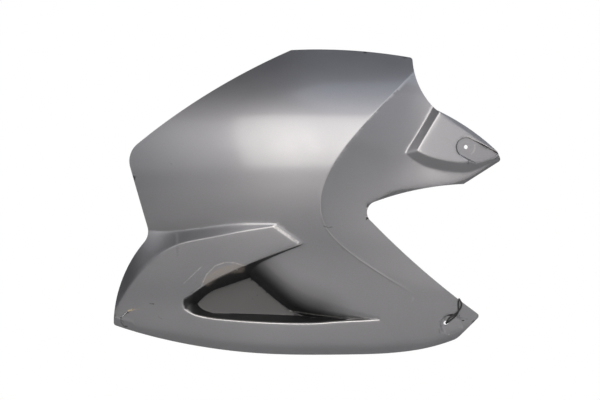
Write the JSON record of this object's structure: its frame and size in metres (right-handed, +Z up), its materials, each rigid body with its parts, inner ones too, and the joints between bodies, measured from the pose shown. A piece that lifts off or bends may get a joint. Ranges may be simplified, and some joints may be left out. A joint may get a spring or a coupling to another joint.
{
  "type": "motorcycle side fairing panel",
  "caption": "Left side fairing of a touring motorcycle: satin graphite shell with a fin over a closed vent, a knee cut-out and two fixing arms, one cracked corner and a tie on the lower arm.",
  "frame": {"origin": "middle of the upper fixing hole, on the seat under the screw head", "axes": "+X to the rear of the machine, +Z up, the painted outer face looks towards -Y"},
  "size_m": [0.6046, 0.1853, 0.4775],
  "materials": {
    "painted_shell": "satin",
    "tie_plastic": "matte"
  },
  "bodies": {
    "root": {"side_panel": "painted_shell", "tie_loop": "tie_plastic"}
  },
  "joints": []
}
